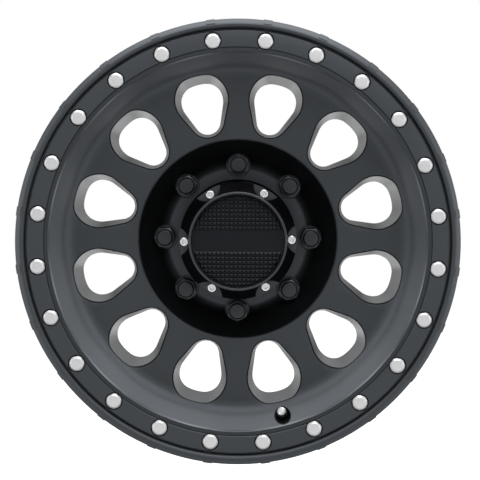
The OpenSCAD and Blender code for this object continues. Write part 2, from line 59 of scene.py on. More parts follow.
# The outer ring between its groove and a low band, the cove, the spokes and the bowl
ring_outer_r, ring_inner_r, groove_w = 223.8, 206.5, 2.4
ring_z, groove_floor_z = front_z - 2, front_z - 7.5
band_z, cove_top_r, cove_foot_r = ring_z - 0.6, 200.6, 190.3
face_h, face_slope, spoke_t = 62.5, 5, 26
bowl_edge_r, bowl_floor_r = 110.5, 85

# The hub: its bore with the seat for the cap, the pad and the back
bore_r, bore_l, bore_wide_r, cap_seat_r, cap_seat_z = 65.4, 6, 66.2, 64.4, 8
pad_t, hub_back_r, spoke_back_r = 15, 100, 120.2


def face_z(r):
    """Height of the spokes' front at a distance from the axis"""
    return face_h - (cove_foot_r - r) * tan(radians(face_slope))


def back_z(r):
    """Height of the spokes' back at a distance from the axis"""
    return face_z(r) - spoke_t + (cove_foot_r - r) * tan(radians(face_slope)) / 2


# A fillet gets three steps, and one more for every 1.8 mm of its radius
fillet_steps, fillet_step_r = 3, 1.8


def filleted(corners, closed=True):
    """Outline of a turned section from corners given as (radius, height, fillet)"""
    outline = []
    for i, (r, z, fillet) in enumerate(corners):
        corner = Vector((r, z))
        if not fillet or (not closed and i in (0, len(corners) - 1)):
            outline.append(corner)
            continue
        neighbours = corners[i - 1], corners[(i + 1) % len(corners)]
        before, after = ((Vector(other[:2]) - corner).normalized() for other in neighbours)
        half = before.angle(after) / 2
        centre = corner + (before + after).normalized() * fillet / sin(half)
        first = corner + before * fillet / tan(half) - centre
        sweep = (2 * half - pi) * (1 if before.cross(after) > 0 else -1)
        steps = fillet_steps + int(fillet / fillet_step_r)
        outline += [centre + Matrix.Rotation(sweep * k / steps, 2) @ first
                    for k in range(steps + 1)]
    return outline


wheel_axis = {"cent": (0, 0, 0), "axis": (0, 0, 1)}
weld, sliver = 0.001 * MM, 0.0001 * MM  # points closer than these count as one


def turned(outline, steps=64, closed=False):
    """Solid of revolution; an outline that isn't closed starts and ends on the axis"""
    bm = bmesh.new()
    verts = [bm.verts.new((r * MM, 0, z * MM)) for r, z in outline]
    edges = [bm.edges.new(pair) for pair in zip(verts, verts[1:] + verts[:1] * closed)]
    bmesh.ops.spin(bm, geom=verts + edges, angle=2 * pi, steps=steps, use_merge=True, **wheel_axis)
    bmesh.ops.remove_doubles(bm, verts=bm.verts, dist=weld)
    bmesh.ops.dissolve_degenerate(bm, edges=bm.edges, dist=sliver)
    bmesh.ops.recalc_face_normals(bm, faces=bm.faces)
    return bm


def swept(outline, angle, steps=4):
    """Part of a turn, centred on X, of a section given as (radius, height) points"""
    bm = bmesh.new()
    face = bm.faces.new([bm.verts.new((r * MM, 0, z * MM)) for r, z in outline])
    turn(bm, -angle / 2)
    bmesh.ops.spin(bm, geom=[face], angle=radians(angle), steps=steps, **wheel_axis)
    bmesh.ops.recalc_face_normals(bm, faces=bm.faces)
    return bm


def turn(bm, angle):
    """Turns a shape round the wheel's axis, in degrees"""
    bmesh.ops.rotate(bm, verts=bm.verts, cent=wheel_axis["cent"],
                     matrix=Matrix.Rotation(radians(angle), 3, "Z"))


def around(bm, count, first=0):
    """Turns a shape to its first place and copies it round the wheel"""
    turn(bm, first)
    bmesh.ops.spin(bm, geom=bm.verts[:] + bm.edges[:] + bm.faces[:], steps=count - 1,
                   angle=2 * pi * (count - 1) / count, use_duplicate=True, **wheel_axis)
    return bm


def shifted(bm, radius, height, tilt=0):
    """Sets a shape at a distance along X and a height, tilted towards the wheel's axis"""
    place = Matrix.Translation((radius * MM, 0, height * MM))
    bmesh.ops.transform(bm, matrix=place @ Matrix.Rotation(radians(-tilt), 4, "Y"), verts=bm.verts)
    return bm


def together(*shapes):
    """Several separate shapes as one"""
    whole = bmesh.new()
    for shape in shapes:
        mesh = bpy.data.meshes.new("shape")
        shape.to_mesh(mesh)
        shape.free()
        whole.from_mesh(mesh)
        bpy.data.meshes.remove(mesh)
    return whole


def combined(body, tool, operation="DIFFERENCE"):
    """One clean solid from two that overlap; both are used up"""
    solids = []
    for shape in (body, tool):
        mesh = bpy.data.meshes.new("solid")
        shape.to_mesh(mesh)
        shape.free()
        solids.append(bpy.data.objects.new("solid", mesh))
        bpy.context.scene.collection.objects.link(solids[-1])
    modifier = solids[0].modifiers.new("combine", "BOOLEAN")
    modifier.object, modifier.operation, modifier.solver = solids[1], operation, "EXACT"
    result = bmesh.new()
    result.from_object(solids[0], bpy.context.evaluated_depsgraph_get())
    for solid in solids:
        mesh = solid.data
        bpy.data.objects.remove(solid)
        bpy.data.meshes.remove(mesh)
    bmesh.ops.remove_doubles(result, verts=result.verts, dist=sliver)
    return result


def finished(name, bm, material, nodes, sharp=32):
    """Lays a piece over into its place, smooth but for sharp edges, where it replaces its nodes"""
    bmesh.ops.transform(bm, matrix=laid_over, verts=bm.verts)
    mesh = bpy.data.meshes.new(name)
    bm.to_mesh(mesh)
    bm.free()
    mesh.shade_smooth()
    mesh.set_sharp_from_angle(angle=radians(sharp))
    mesh.materials.append(material)
    piece = bpy.data.objects.new(name, mesh)
    bpy.context.scene.collection.objects.link(piece)
    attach(piece, "root")
    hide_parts(*nodes)


class Signal:
    """A value that varies over a surface; arithmetic on it adds Math nodes"""

    def __init__(self, finish, socket):
        self.finish, self.socket = finish, socket

    def maths(self, operation, *values):
        """Result of one Math node on signals or numbers"""
        inputs = dict(enumerate(values))
        return self.finish.node("ShaderNodeMath", {"operation": operation}, inputs)

    def __add__(self, other):
        return self.maths("ADD", self, other)

    def __sub__(self, other):
        return self.maths("SUBTRACT", self, other)

    def __rsub__(self, other):
        return self.maths("SUBTRACT", other, self)

    def __mul__(self, other):
        return self.maths("MULTIPLY", self, other)

    __radd__, __rmul__ = __add__, __mul__


class Finish:
    """A procedural material around one surface shader, placed by the object's coordinates"""

    def __init__(self, name, constants):
        self.material = bpy.data.materials.new(name)
        self.material.use_nodes = True
        self.tree = self.material.node_tree
        self.shader = self.tree.nodes["Principled BSDF"]
        for socket, value in constants.items():
            self.shader.inputs[socket].default_value = value
        self.place = self.node("ShaderNodeTexCoord", {}, {}, "Object")

    def node(self, kind, settings, inputs, output=0):
        """Adds a node with its settings and inputs, and gives back one of its outputs"""
        made = self.tree.nodes.new(kind)
        for key, value in settings.items():
            setattr(made, key, value)
        for socket, value in inputs.items():
            if isinstance(value, Signal):
                self.tree.links.new(value.socket, made.inputs[socket])
            else:
                made.inputs[socket].default_value = value
        return Signal(self, made.outputs[output])

    def feed(self, socket, signal):
        """Links a signal to an input of the surface shader"""
        self.tree.links.new(signal.socket, self.shader.inputs[socket])

    def noise(self, scale, detail):
        """Noise from 0 to 1 whose patches are about 1/scale metres wide"""
        return self.node("ShaderNodeTexNoise", {}, {
            "Vector": self.place, "Scale": scale, "Detail": detail}, "Fac")

    def tint(self, low, high, mask):
        """Colour between two others by a mask"""
        colour_a, colour_b, colour_out = 6, 7, 2  # the node's sockets for colours
        return self.node("ShaderNodeMix", {"data_type": "RGBA"}, {
            "Factor": mask, colour_a: (*low, 1), colour_b: (*high, 1)}, colour_out)

    def radius(self, across=(1, 0, 1)):
        """Distance from the wheel's axis, or from the origin across other axes, in metres"""
        vector_maths = "ShaderNodeVectorMath"
        flat = self.node(vector_maths, {"operation": "MULTIPLY"}, {0: self.place, 1: across})
        return self.node(vector_maths, {"operation": "LENGTH"}, {0: flat}, "Value")

    def height(self):
        """Height over the hub's face towards the street side, in metres"""
        return self.along("Y") * -1

    def along(self, axis):
        """Distance from the wheel's centre along an axis of the frame, in metres"""
        return self.node("ShaderNodeSeparateXYZ", {}, {0: self.place}, axis)

    def ramp(self, signal, start, end):
        """Mask over a length: 0 at the start and 1 at the end, both in millimetres"""
        return self.node("ShaderNodeMapRange", {}, {
            "Value": signal, "From Min": start * MM, "From Max": end * MM})

    def band(self, signal, low, low_full, high_full, high):
        """Mask over a length: 0 up to low, 1 between the full ones and 0 again from high"""
        return self.ramp(signal, low, low_full) * self.ramp(signal, high, high_full)

    def bump(self, height, depth, strength):
        """Relief of a height from 0 to 1, its depth in millimetres"""
        self.feed("Normal", self.node("ShaderNodeBump", {}, {
            "Height": height, "Distance": depth * MM, "Strength": strength}))


# The coat's reflections are tinted blue, a painted colour of the light
powder_coat = Finish("satin_black_powder_coat", {
    "IOR": 1.5, "Specular Tint": (0.83, 0.91, 1, 1), "Coat IOR": 1.5, "Coat Roughness": 0.18})
coat_patches, coat_grain = powder_coat.noise(25, 3), powder_coat.noise(1300, 2)
coat_radius, coat_height = powder_coat.radius(), powder_coat.height()
coat_across, coat_up = powder_coat.along("X"), powder_coat.along("Z")
under_face = coat_radius * tan(radians(face_slope)) + face_z(0) * MM - coat_height

# Everything that lies deeper than the spokes' front, and in it the wall and floor of the bowl,
# where shade is painted in
coat_deep = powder_coat.ramp(under_face, 0.6, 2.5)
bowl_painted_shade = coat_deep * powder_coat.band(
    coat_radius, bowl_floor_r - 1, bowl_floor_r + 3, bowl_edge_r - 0.5, bowl_edge_r + 1.5)

# The cove, painted paler as light falls on it, most low on the wheel, and the low band between it
# and the ring, painted darker as shade
coat_cove = powder_coat.band(
    coat_radius, cove_foot_r - 12.3, cove_foot_r + 3.7, ring_inner_r - 2.5, ring_inner_r - 2.1)
coat_cove = coat_cove * powder_coat.band(
    coat_height, face_h - 4.5, face_h - 2.5, band_z - 0.75, band_z - 0.15)
coat_cove_top = powder_coat.ramp(coat_radius, cove_foot_r + 3.7, cove_top_r - 0.6)
low_painted_light = powder_coat.ramp(coat_up, 160, -140)
band_painted_shade = powder_coat.ramp(coat_height, band_z - 3.35, band_z - 2.35) * powder_coat.band(
    coat_radius, cove_top_r + 0.6, cove_top_r + 1, ring_inner_r - 0.8, ring_inner_r - 0.5)

# The cove's top edge, with a painted highlight over the windows and painted shade over the spokes,
# where the rib mask is 1
coat_angle = coat_up.maths("ARCTAN2", coat_up, coat_across)
coat_rib = 0.5 + 0.5 * coat_angle.maths("COSINE", coat_angle * window_count)
top_edge_painted_light = powder_coat.ramp(coat_height, band_z - 3.35, band_z - 2.85) * powder_coat.band(
    coat_radius, cove_top_r - 0.9, cove_top_r - 0.5, cove_top_r + 0.2, cove_top_r + 0.6)

# The chamfer round each window's front, painted dark as shade, and the windows' drafted walls,
# which shine more towards the rim
window_chamfer_painted_shade = powder_coat.band(under_face, 0.1, 0.25, 1, 1.6) * powder_coat.band(
    coat_radius, bowl_edge_r + 2.5, bowl_edge_r + 4.5, cove_foot_r - 2.3, cove_foot_r - 1.3)
coat_wall = powder_coat.band(under_face, 1.4, 1.8, spoke_t + 1, spoke_t + 2) * powder_coat.band(
    coat_radius, bowl_edge_r + 2.5, bowl_edge_r + 4.5, cove_foot_r - 1.3, cove_foot_r - 0.3)

# Black, with painted light that makes it a little lighter in the cove, less so near the cove's
# top, and on its top edge over the windows. Where it is metallic, its reflections are as black as
# its colour, which paints shade on the window chamfers, the bowl, the band and the top edge over
# the spokes.
coat_tone_and_painted_light = 0.0035 + 0.002 * coat_patches + 0.06 * top_edge_painted_light * (1 - coat_rib)
coat_tone_and_painted_light = coat_tone_and_painted_light + coat_cove * (0.034 + 0.02 * low_painted_light - 0.014 * coat_cove_top)
powder_coat.feed("Base Color", powder_coat.tint((0, 0, 0), (0.93, 1, 1.08), coat_tone_and_painted_light))
coat_gloss = 0.1 + 0.12 * powder_coat.ramp(coat_radius, bowl_edge_r + 2.5, bowl_edge_r + 0.5)
powder_coat.feed("Roughness", 0.47 + 0.06 * coat_patches + 0.05 * coat_grain
                 - coat_deep * coat_gloss + 0.25 * coat_cove)
powder_coat.feed("Metallic", window_chamfer_painted_shade + 0.45 * bowl_painted_shade + 0.3 * band_painted_shade
                 + 0.6 * top_edge_painted_light * coat_rib)
coat_outward = powder_coat.ramp(coat_radius, 150, 188)
powder_coat.feed("Coat Weight", coat_wall * (0.08 + 0.92 * coat_outward))
powder_coat.bump(coat_grain, 0.03, 0.35)

# The casting's outline runs along the barrel's inside to the rear, along its outside to the lip,
# in over the ring and the cove, down the bowl to the hub and round its back
barrel_inside = [
    (barrel_in_r, back_z(barrel_in_r), 5),
    (barrel_in_r, well_rear_z - 2, 14),
    (ledge_r - barrel_wall - 3, well_rear_z - 28, 14),
    (ledge_r - barrel_wall, rear_toe_z + 12, 10),
    (toe_r - barrel_wall, rear_toe_z, 6),
    (toe_r - barrel_wall + 1, rear_seat_z + 3, 8),
    (rim_r - 7, rear_z + 4, 3),
    (rim_r - 5, rear_z, 1.5),
]
barrel_outside = [
    (rim_r, rear_z, 2),
    (rim_r, rear_seat_z, 4),
    (heel_r, rear_seat_z, 6),
    (toe_r, rear_toe_z, 2),
    (toe_r + hump_h, rear_toe_z + 3, 2),
    (ledge_r, rear_toe_z + 9, 5),
    (ledge_r - 3, well_rear_z - 24, 14),
    (well_r, well_rear_z, 12),
    (well_r, well_front_z, 12),
    (toe_r, face_h + 2.5, 6),
    (toe_r, front_toe_z - 9, 3),
    (toe_r + hump_h, front_toe_z - 3, 2),
    (toe_r, front_toe_z, 2),
    (heel_r, front_seat_z, 6),
    (rim_r, front_seat_z, 4),
]
street_side = [
    (rim_r, front_z - 4, 1.2),
    (rim_r - 4.4, front_z - 0.9, 1.5),
    (rim_r - 6.4, front_z, 1.5),
    (rim_r - 8.6, front_z - 0.8, 1.2),
    (ring_outer_r + groove_w, front_z - 3.5, 1),
    (ring_outer_r + groove_w, groove_floor_z, 0.5),
    (ring_outer_r, groove_floor_z, 0.5),
    (ring_outer_r, ring_z, 0.8),
    (ring_inner_r, ring_z, 0.2),
    (ring_inner_r - 0.7, ring_z - 1.1, 0),
    (ring_inner_r - 1.4, band_z, 0.2),
    (cove_top_r, band_z, 1),
    (cove_foot_r, face_h, 9),
]
hub_side = [
    (bowl_edge_r, face_z(bowl_edge_r), 4),
    (bowl_floor_r, pad_t, 14),
    (bore_wide_r, pad_t, 0.5),
    (cap_seat_r, pad_t - 1.6, 0),
    (cap_seat_r, cap_seat_z, 0),
    (bore_wide_r, cap_seat_z, 0),
    (bore_wide_r, bore_l, 0),
    (bore_r, bore_l, 0),
    (bore_r, 0, 0),
    (hub_back_r, 0, 3),
    (spoke_back_r, back_z(spoke_back_r), 10),
]
casting_outline = filleted(barrel_inside + barrel_outside + street_side + hub_side)
casting = turned(casting_outline, steps=288, closed=True)

# Pads on the lip's chamfer, one outside each ring bolt
pad_w, pad_h = 9.6, 0.6
lip_pads = around(swept([
    (rim_r - 6, front_z - 9),
    (rim_r + pad_h - 0.4, front_z - 9),
    (rim_r + pad_h, front_z - 8.6),
    (rim_r + pad_h, front_z - 3.7),
    (rim_r - 4.2, front_z - 0.4),
    (rim_r - 6, front_z - 0.5),
], degrees(2 * asin(pad_w / 2 / rim_r))), bolt_count, 180 / bolt_count)
casting = combined(casting, lip_pads, "UNION")

# Egg-shaped windows: an arc at each end, the wide one flattened along the cove's foot. The
# drafted walls lean most at the wide end and keep less of its flat, so they end rounder behind.
window_draft, chamfer_h, chamfer_w, flare = 10.3, 0.65, 1.625, 1.9
wide_r, wide_at, narrow_r, narrow_at, window_limit_r = 29.4, 159, 18.8, 135.5, 186.9
wide_lean, limit_lean, limit_soft, limit_round = 0.32, 0.38, 4, 2.2


def window_loop(bm, inset, rise, wide_steps=44, narrow_steps=22, side_steps=8):
    """Edges of a window's outline, drawn in by inset and lifted over the spokes' front"""
    drawn = max(inset, 0)
    wide, narrow = wide_r - inset - wide_lean * drawn, narrow_r - inset
    lean = asin((wide - narrow) / (wide_at - narrow_at))
    half = pi / 2 + lean

    def arc(at, radius, angles):
        return [Vector((at + radius * cos(angle), radius * sin(angle))) for angle in angles]

    outline = arc(wide_at, wide, (half * (2 * i / wide_steps - 1) for i in range(wide_steps + 1)))
    narrow_end = arc(narrow_at, narrow, (half + (pi - 2 * lean) * i / narrow_steps
                                         for i in range(narrow_steps + 1)))
    sides = [[start.lerp(end, i / side_steps) for i in range(1, side_steps)]
             for start, end in ((outline[-1], narrow_end[0]), (narrow_end[-1], outline[0]))]
    outline += sides[0] + narrow_end + sides[1]

    # Points near the cove's foot are drawn in towards the limit, which flattens the wide end
    limit, soft = window_limit_r - inset + limit_lean * drawn, limit_soft + limit_round * drawn
    verts = []
    for x, y in outline:
        r = hypot(x, y)
        kept = r if r < limit - soft else limit - soft * exp(-(r - limit + soft) / soft)
        z = rise + face_z(min(r, cove_foot_r))
        verts.append(bm.verts.new(Vector((x * kept / r, y * kept / r, z)) * MM))
    return [bm.edges.new(pair) for pair in zip(verts, verts[1:] + verts[:1])]


window_depth = spoke_t + 12
windows = bmesh.new()
window_loops = [window_loop(windows, inset, rise) for inset, rise in (
    (window_depth * tan(radians(window_draft)), -window_depth),
    (0, -chamfer_h),
    (-chamfer_w, 0.05),
    (-chamfer_w - flare, past),
    (-chamfer_w - flare, 14),
)]
for lower, upper in zip(window_loops, window_loops[1:]):
    bmesh.ops.bridge_loops(windows, edges=lower + upper)
for loop in (window_loops[0], window_loops[-1]):
    bmesh.ops.edgeloop_fill(windows, edges=loop)
bmesh.ops.recalc_face_normals(windows, faces=windows.faces)
around(windows, window_count, 180 / window_count)

# Seats of the ring bolts, each with a notch into the groove
bolt_at, bolt_l, bolt_hole_r, bolt_seat_r, seat_chamfer = 213.8, 12, 2.6, 9.2, 0.3
seat = turned([
    (0, groove_floor_z - bolt_l - past),
    (bolt_hole_r, groove_floor_z - bolt_l - past),
    (bolt_hole_r, groove_floor_z),
    (bolt_seat_r, groove_floor_z),
    (bolt_seat_r, ring_z - seat_chamfer),
    (bolt_seat_r + seat_chamfer, ring_z),
    (bolt_seat_r + seat_chamfer, ring_z + past),
    (0, ring_z + past),
])
notch_l, notch_w, notch_h = ring_outer_r + past - bolt_at, 5, 6
notch_z = groove_floor_z + 0.4 + notch_h / 2
notch = bmesh.new()
bmesh.ops.create_cube(notch, size=1, matrix=Matrix.Diagonal(
    (notch_l * MM, notch_w * MM, notch_h * MM, 1)))
bmesh.ops.translate(notch, verts=notch.verts, vec=(notch_l / 2 * MM, 0, notch_z * MM))
seats = around(shifted(combined(seat, notch, "UNION"), bolt_at, 0), bolt_count, 180 / bolt_count)

# Creases in the cove's top edge, one over each spoke's root
crease_w, crease_deep_h, crease_shallow_h = 1, 2.4, 0.2
creases = around(swept([
    (cove_top_r - past, band_z + past),
    (cove_top_r - past, band_z - crease_deep_h),
    (cove_top_r + crease_w, band_z - crease_shallow_h),
    (cove_top_r + crease_w, band_z + past),
], 180 / window_count, steps=12), window_count)

# Lug pockets with their cone seats and holes, and the plain recesses between them behind
lug_at, lug_hole_r, lug_seat_r, lug_pocket_r, lug_chamfer = 82.55, 8, 11.2, 13.8, 0.4
lug_floor_z, lug_cone_slope = pad_t - 4, tan(radians(30))
lug_cone_z = lug_floor_z - (lug_seat_r - lug_hole_r) / lug_cone_slope
lugs = around(shifted(turned([
    (0, -past),
    (lug_hole_r, -past),
    (lug_hole_r, lug_cone_z),
    (lug_seat_r, lug_floor_z),
    (lug_pocket_r, lug_floor_z),
    (lug_pocket_r, pad_t - lug_chamfer),
    (lug_pocket_r + lug_chamfer, pad_t),
    (lug_pocket_r + lug_chamfer, face_h + past),
    (0, face_h + past),
]), lug_at, 0), lug_count)
relief_r, relief_h = 10, 7
relief = turned([(0, -past), (relief_r, -past), (relief_r, relief_h), (0, relief_h)])
reliefs = around(shifted(relief, lug_at, 0), lug_count, 180 / lug_count)

# The valve's pocket in the cove, its seats and its hole
valve_angle, valve_at, valve_tilt, valve_wall, valve_hole_r = 284.7, 200, 17, 4, 5.75
valve_pocket_r, valve_pocket_tilt, valve_pocket_low, valve_pocket_high = 9, 9, 1.5, 65
rear_seat_r, rear_seat_l, front_seat_r, front_seat_l = 10.5, 22, 8.25, 8
valve_pocket = shifted(turned([
    (0, valve_pocket_low),
    (valve_pocket_r, valve_pocket_low),
    (valve_pocket_r, valve_pocket_high),
    (0, valve_pocket_high),
]), valve_at, face_h, valve_pocket_tilt)
valve_hole = shifted(turned([
    (0, -valve_wall - rear_seat_l),
    (rear_seat_r, -valve_wall - rear_seat_l),
    (rear_seat_r, -valve_wall),
    (valve_hole_r, -valve_wall),
    (valve_hole_r, 0),
    (front_seat_r, 0),
    (front_seat_r, front_seat_l),
    (0, front_seat_l),
]), valve_at, face_h, valve_tilt)
valve_space = combined(valve_pocket, valve_hole, "UNION")
turn(valve_space, valve_angle)

casting = combined(casting, together(windows, seats, creases, lugs, reliefs, valve_space))
finished("alloy_wheel", casting, powder_coat.material, ["wheel_casting"], sharp=31)


# Twenty-four hexagon flange bolts of zinc-plated steel give the outer ring its bolted look. Each
# is forged in one piece with a washer face and a chamfered hexagon, and is screwed into its seat.
zinc = Finish("zinc_plate", {"Metallic": 1, "IOR": 1.5})
zinc_cloud = zinc.noise(350, 4)

# The heads' sides are painted darker than their tops, as shade
zinc_top = zinc.ramp(zinc.height(), ring_z + 0.3, ring_z + 0.8)
zinc_tone_and_painted_shade = (0.8 + 0.2 * zinc_cloud) * (0.35 + 0.65 * zinc_top)
zinc.feed("Base Color", zinc.tint((0.2, 0.2, 0.205), (0.43, 0.43, 0.435), zinc_tone_and_painted_shade))
zinc.feed("Roughness", 0.40 + 0.14 * zinc_cloud)
zinc.bump(zinc.noise(1800, 2), 0.02, 0.5)

bolt_hex, bolt_head_h, bolt_flange_r, bolt_flange_t = 15.2, 6.5, 8.2, 1.7
bolt_shank_r, bolt_turned_r, bolt_top_r = 2.5, 8, 5.8
chamfer_slope = tan(radians(30))


def hexagon(across_flats, low, high):
    """Hexagonal prism between two heights, a flat towards X"""
    bm = bmesh.new()
    corner_r = across_flats / 2 / cos(radians(30)) * MM
    bmesh.ops.create_cone(bm, cap_ends=True, segments=6, radius1=corner_r, radius2=corner_r,
                          depth=(high - low) * MM, matrix=Matrix.Rotation(radians(30), 4, "Z"))
    bmesh.ops.translate(bm, verts=bm.verts, vec=(0, 0, (low + high) / 2 * MM))
    return bm


bolt_crown = turned(filleted([
    (0, 0, 0),
    (bolt_turned_r, 0, 0),
    (bolt_turned_r, bolt_head_h - (bolt_turned_r - bolt_top_r) * chamfer_slope, 0.3),
    (bolt_top_r, bolt_head_h, 0.4),
    (0, bolt_head_h, 0),
], closed=False), steps=72)
bolt_head = combined(hexagon(bolt_hex, 0.8, bolt_head_h + past), bolt_crown, "INTERSECT")
bolt_flange = turned(filleted([
    (0, -bolt_l, 0),
    (bolt_shank_r, -bolt_l, 0),
    (bolt_shank_r, 0, 0),
    (bolt_flange_r, 0, 0.2),
    (bolt_flange_r, bolt_flange_t - 0.8, 0.3),
    (bolt_flange_r - 1.8, bolt_flange_t, 0),
    (0, bolt_flange_t, 0),
], closed=False), steps=72)
bolt = combined(bolt_head, bolt_flange, "UNION")
turn(bolt, 30)
ring_bolts = around(shifted(bolt, bolt_at, groove_floor_z), bolt_count, 180 / bolt_count)
finished("ring_bolt_set", ring_bolts, zinc.material, ["ring_bolts"])


# Eight closed lug nuts of black-coated steel. Each has a cone that centres it in the wheel, a
# hexagon for the wrench and a pressed round crown, and screws onto the hub's stud.
nut_paint = Finish("black_nut_coating", {"IOR": 1.41, "Specular Tint": (0.91, 0.95, 1, 1)})
nut_wear = nut_paint.noise(220, 4)
nut_paint.feed("Base Color", nut_paint.tint(
    (0.003, 0.0035, 0.004), (0.008, 0.009, 0.01), nut_wear))
nut_paint.feed("Roughness", 0.3 + 0.14 * nut_wear)
nut_paint.bump(nut_paint.noise(1500, 2), 0.02, 0.4)

nut_hex, nut_l, nut_crown_h, nut_crown_r, nut_bore_r = 21, 27, 4, 7.7, 7
nut_top_z, nut_bore_z = lug_floor_z + nut_l, lug_floor_z + nut_l - 7
nut_corner_r = nut_hex / 2 / cos(radians(30))
cone_low_z, cone_low_r = lug_cone_z + 1.2, lug_hole_r + 0.577
nut_turned = turned(filleted([
    (0, lug_floor_z - past, 0),
    (nut_hex * 0.53, lug_floor_z, 0),
    (nut_corner_r + past, lug_floor_z + 2.5, 0),
    (nut_corner_r + past, nut_top_z - nut_crown_h - 1.2, 0),
    (nut_hex * 0.48, nut_top_z - nut_crown_h, 0.4),
    (0, nut_top_z - nut_crown_h, 0),
], closed=False), steps=72)
nut_body = combined(hexagon(nut_hex, lug_floor_z + 0.1, nut_top_z), nut_turned, "INTERSECT")
nut_core = turned(filleted([
    (0, nut_bore_z + 2, 0),
    (nut_bore_r, nut_bore_z, 0),
    (nut_bore_r, cone_low_z, 0),
    (cone_low_r, cone_low_z, 0),
    (cone_low_r + (lug_floor_z - cone_low_z) * lug_cone_slope, lug_floor_z, 0.4),
    (nut_hex / 2 - 0.3, lug_floor_z + 0.3, 0),
    (nut_hex / 2 - 0.3, lug_floor_z + 1, 0),
    (nut_hex * 0.42, lug_floor_z + 2, 0),
    (nut_hex * 0.42, nut_top_z - nut_crown_h - 1, 0),
    (nut_hex * 0.46, nut_top_z - nut_crown_h - 0.6, 0),
    (nut_crown_r + 1.2, nut_top_z - 1.2, 0.6),
    (nut_crown_r, nut_top_z, 0.6),
    (0, nut_top_z, 0),
], closed=False), steps=72)
nut_hollow = turned([
    (0, cone_low_z - past),
    (nut_bore_r, cone_low_z - past),
    (nut_bore_r, nut_bore_z),
    (0, nut_bore_z + 2),
], steps=72)
nut = combined(combined(nut_body, nut_hollow), nut_core, "UNION")
lug_nuts = around(shifted(nut, lug_at, 0), lug_count)
finished("lug_nut_set", lug_nuts, nut_paint.material, ["lug_nuts"])


# The cap's body is a moulded tube of satin black plastic. Its lip sits behind the seat in the
# hub's bore, and its bosses take the lid's screws. It shows between the hub pad and the lid.
cap_satin = Finish("satin_black_plastic", {"IOR": 1.46, "Specular Tint": (0.91, 0.95, 1, 1)})
cap_cloud = cap_satin.noise(60, 3)
cap_satin.feed("Base Color", cap_satin.tint(
    (0.004, 0.004, 0.005), (0.007, 0.007, 0.008), cap_cloud))
cap_satin.feed("Roughness", 0.30 + 0.08 * cap_cloud)
cap_satin.bump(cap_satin.noise(1600, 2), 0.015, 0.3)


def dressed(node, finish):
    """Gives a piece that is kept as it was built its finish"""
    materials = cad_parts[node].data.materials
    materials.clear()
    materials.append(finish.material)


dressed("cap_body", cap_satin)


# The O-ring is a plain ring of black rubber. It lies in the groove of the cap's body, where it
# grips the hub's bore and seals it.
rubber = Finish("black_rubber", {"IOR": 1.5})
rubber_cloud = rubber.noise(180, 3)
rubber.feed("Base Color", rubber.tint(
    (0.006, 0.006, 0.006), (0.014, 0.014, 0.014), rubber_cloud))
rubber.feed("Roughness", 0.5 + 0.15 * rubber_cloud)
rubber.bump(rubber.noise(1500, 2), 0.03, 0.5)
dressed("cap_o_ring", rubber)


# The cap's lid is a cover of the body's plastic, screwed on it: a flange, a cone with a flat
# milled for each screw, and a thin raised ring round the insert.
cap_h, lid_flange_t, lid_h, lid_r, lid_ring_r, lid_ring_w = 94.5, 4, 16, 63, 52.5, 2.4
flat_z, lid_top_z = cap_h + lid_flange_t, cap_h + lid_flange_t + lid_h
lid_hole_r, lid_wall, insert_z = lid_ring_r - lid_ring_w, 2, lid_top_z - 6
lid_under_z = insert_z - 3

# The cone, outside the raised ring and above the flange, is blacker than the rest
cap_outside = cap_satin.ramp(cap_satin.radius(), lid_ring_r - 0.1, lid_ring_r + 0.5)
cap_above = cap_satin.ramp(cap_satin.height(), flat_z + 0.2, flat_z + 0.5)
cap_satin.feed("Metallic", cap_outside * cap_above)

lid = turned(filleted([
    (0, lid_under_z, 0),
    (lid_hole_r - lid_wall, lid_under_z, 3),
    (lid_hole_r - lid_wall, cap_h, 0),
    (lid_r, cap_h, 0.5),
    (lid_r, flat_z + 0.6, 0.3),
    (lid_ring_r + 0.4, lid_top_z - 3.2, 0.6),
    (lid_ring_r, lid_top_z, 0.8),
    (lid_hole_r, lid_top_z, 0.4),
    (lid_hole_r, insert_z, 0),
    (0, insert_z, 0),
], closed=False), steps=240)
screw_count, screw_turn, screw_at = 6, 1.4, 57.4
flat_at, flat_r, flat_top_z = 68, 16, lid_top_z - 3.4
flat = turned([(0, flat_z), (flat_r, flat_z), (flat_r, flat_top_z), (0, flat_top_z)], steps=96)
lid = combined(lid, around(shifted(flat, flat_at, 0), screw_count, screw_turn))
finished("cap_cover", lid, cap_satin.material, ["cap_lid"])


# The insert is a moulded disc of matt black plastic, with rows of small pyramids above and below
# a plain band. It is pressed into the raised ring.
insert_matt = Finish("matt_black_plastic", {
    "IOR": 1.46, "Specular IOR Level": 0.11, "Specular Tint": (0.9, 0.94, 1, 1)})
insert_cloud = insert_matt.noise(90, 3)
insert_matt.feed("Base Color", insert_matt.tint(
    (0.002, 0.0023, 0.003), (0.0036, 0.0041, 0.005), insert_cloud))
insert_matt.feed("Roughness", 0.40 + 0.1 * insert_cloud)
insert_matt.bump(insert_matt.noise(1500, 2), 0.02, 0.4)

insert_r, insert_t, border_r = lid_hole_r - 0.2, 3.6, 49
pitch, pyramid_h, pyramid_side, band_half = 4.6, 1.3, 1.5, 10
least_face, least_cell = 1e-9, 0.15 * (pitch * MM) ** 2
insert = turned(filleted([
    (0, insert_z, 0),
    (insert_r, insert_z, 0),
    (insert_r, insert_z + insert_t, 0.5),
    (border_r, insert_z + insert_t, 0.3),
    (border_r - 0.6, insert_z + insert_t - pyramid_h, 0),
], closed=False), steps=144)
bmesh.ops.edgeloop_fill(insert, edges=[e for e in insert.edges if e.is_boundary])


def floor_faces(least_area):
    """Faces of the insert's sunk floor that are larger than an area"""
    faces = []
    for face in insert.faces:
        middle = face.calc_center_median()
        if (abs(face.normal.z) > 0.99 and middle.z > (insert_z + 1) * MM
                and middle.xy.length < (border_r - 0.5) * MM and face.calc_area() > least_area):
            faces.append(face)
    return faces


